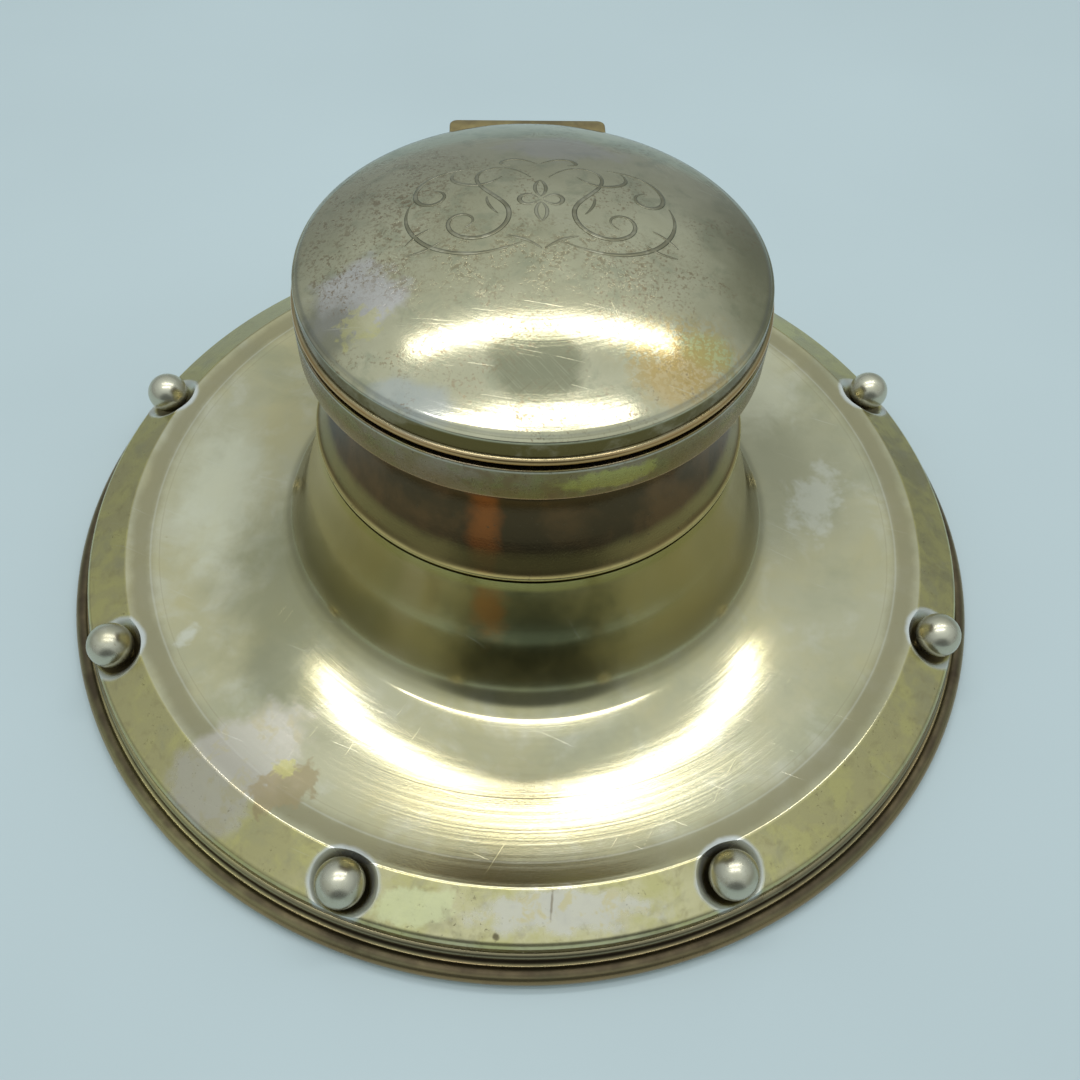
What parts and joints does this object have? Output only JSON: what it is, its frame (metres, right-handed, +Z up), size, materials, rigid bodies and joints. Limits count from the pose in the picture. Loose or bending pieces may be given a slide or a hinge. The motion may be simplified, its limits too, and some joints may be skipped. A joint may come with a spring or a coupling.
{
  "type": "desk inkwell",
  "caption": "Capstan-shaped desk inkwell: wide weighted dish with ball bosses, waisted neck, glass liner in the collar and a domed lid hinged at the back.",
  "frame": {"origin": "centre of the cloth-covered underside, on the table", "axes": "+Z up along the axis of the dish, neck and lid; +Y towards the hinge"},
  "size_m": [0.152, 0.152, 0.0681],
  "materials": {
    "dish_metal": "tarnished silver, worn polish",
    "neck_metal": "dark copper-brown tarnish",
    "lid_metal": "tarnished silver, fine pitting",
    "foot_metal": "bronze-brown tarnish",
    "ball_metal": "rubbed bright silver",
    "hinge_metal": "golden-brown tarnish",
    "clear_glass": "clear, moulded",
    "plaster": "cast, rough",
    "mahogany": "plain",
    "baize": "napped cloth"
  },
  "bodies": {
    "base": {"baize_pad": "baize", "ball_1": "ball_metal", "ball_2": "ball_metal", "ball_3": "ball_metal", "ball_4": "ball_metal", "ball_5": "ball_metal", "ball_6": "ball_metal", "ball_7": "ball_metal", "ball_8": "ball_metal", "base_board": "mahogany", "base_shell": "dish_metal", "bezel_ring": "lid_metal", "body_hinge_leaf": "hinge_metal", "body_knuckle_left": "hinge_metal", "body_knuckle_middle": "hinge_metal", "body_knuckle_right": "hinge_metal", "collar_ledge": "lid_metal", "collar_ring": "lid_metal", "hinge_pin": "hinge_metal", "loading_fill": "plaster", "neck_shell": "neck_metal", "rim_moulding": "foot_metal"},
    "lid": {"lid_shell": "lid_metal", "lid_hinge_leaf": "hinge_metal", "lid_knuckle_left": "hinge_metal", "lid_knuckle_right": "hinge_metal"},
    "liner": {"glass_liner": "clear_glass"}
  },
  "joints": [
    {"name": "lid_hinge", "type": "hinge", "parent": "base", "child": "lid", "pos_m": [0, 0.0342, 0.0576], "axis": [-1, 0, 0], "range_deg": [0, 110]},
    {"name": "liner_lift", "type": "slide", "parent": "base", "child": "liner", "axis": [0, 0, 1], "range_m": [0, 0.0035]}
  ]
}
